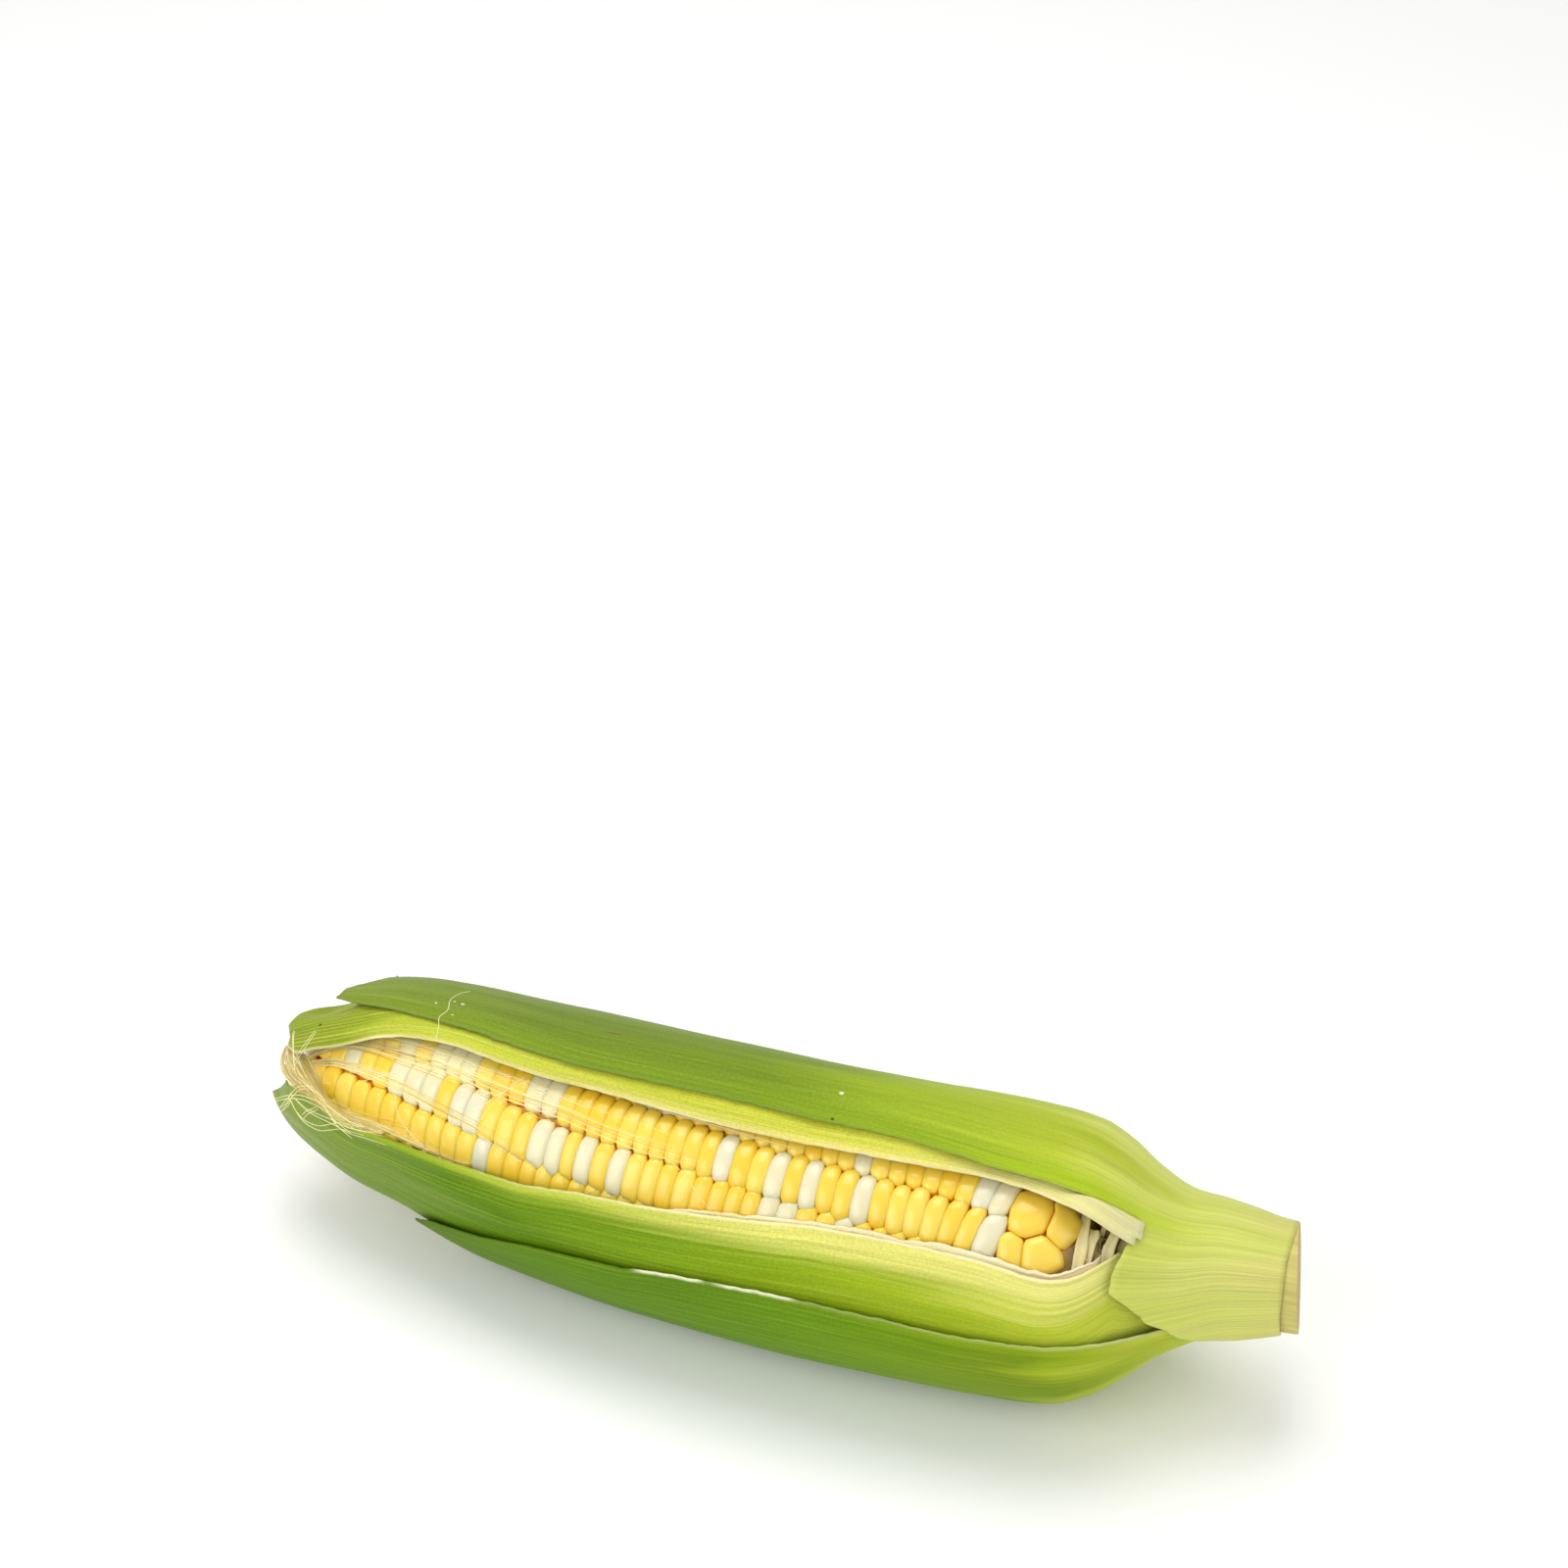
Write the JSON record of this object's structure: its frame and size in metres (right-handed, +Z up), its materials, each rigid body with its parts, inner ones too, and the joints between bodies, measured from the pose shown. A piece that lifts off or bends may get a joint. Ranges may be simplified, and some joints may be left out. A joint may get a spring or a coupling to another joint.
{
  "type": "corn cob",
  "caption": "Ear of sweet corn lying on its side in a green husk that is opened along one side, with bicolour kernels, silk and a cut shank.",
  "frame": {"origin": "the resting spot below the middle of the ear, on the surface that it lies on", "axes": "+X along the ear from its tip to the cut shank, +Z up, the husk's opening faces up and towards -Y"},
  "size_m": [0.2423, 0.0677, 0.0648],
  "materials": {
    "kernels": "plump glossy yellow kernels with some cream-white ones",
    "shank": "pale fibrous stem, brownish at the cut",
    "outer_husk": "fresh green leaf with fine parallel veins, satin",
    "inner_husk": "yellow-green leaf with fine parallel veins, satin",
    "pale_husk": "thin cream leaf, slightly translucent",
    "silk": "pale golden plant fibre"
  },
  "bodies": {
    "root": {"kernelled_cob": "kernels", "shank": "shank", "outer_back_leaf": "outer_husk", "outer_front_leaf": "outer_husk", "inner_back_leaf": "inner_husk", "inner_front_leaf": "inner_husk", "membrane_leaf": "pale_husk", "rear_leaf": "inner_husk", "lower_leaf": "pale_husk", "tip_silk": "silk", "dried_fibres": "silk"}
  },
  "joints": []
}
